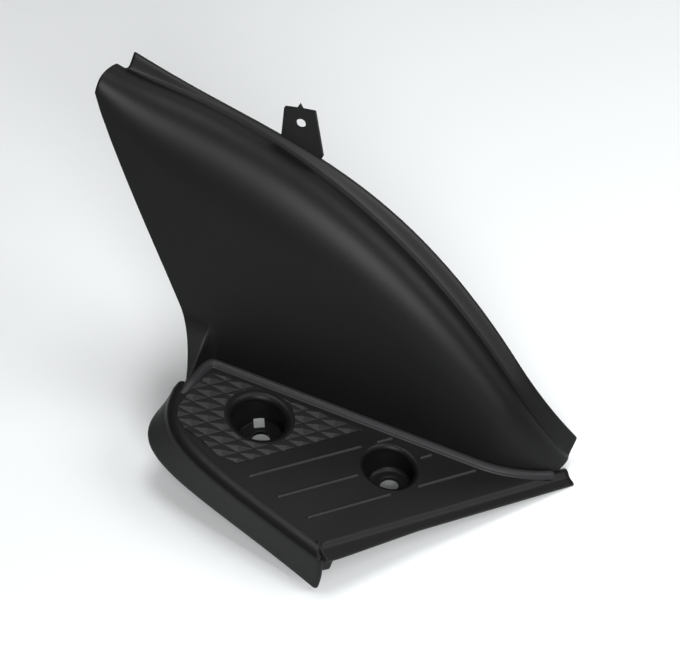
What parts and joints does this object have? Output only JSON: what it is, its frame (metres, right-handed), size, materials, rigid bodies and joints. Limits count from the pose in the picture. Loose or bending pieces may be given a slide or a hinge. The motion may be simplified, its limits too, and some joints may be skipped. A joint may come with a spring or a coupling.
{
  "type": "scooter floorboard",
  "caption": "One-piece moulded scooter floorboard: sloping tread with grip diamonds, ribs and deep bolt cups, a tall curved side panel with a rolled shoulder, and a flared skirt.",
  "frame": {"origin": "centre of the outer cup's bolt hole, on the seat the bolt head bears on", "axes": "+Z is the bolt axis, up out of the cups; +X runs along the foot of the side panel toward its low end; +Y points from the tread to the side panel"},
  "size_m": [0.3125, 0.1825, 0.2427],
  "materials": {
    "moulded_black": "matte, fine moulded grain"
  },
  "bodies": {
    "root": {"floorboard": "moulded_black"}
  },
  "joints": []
}
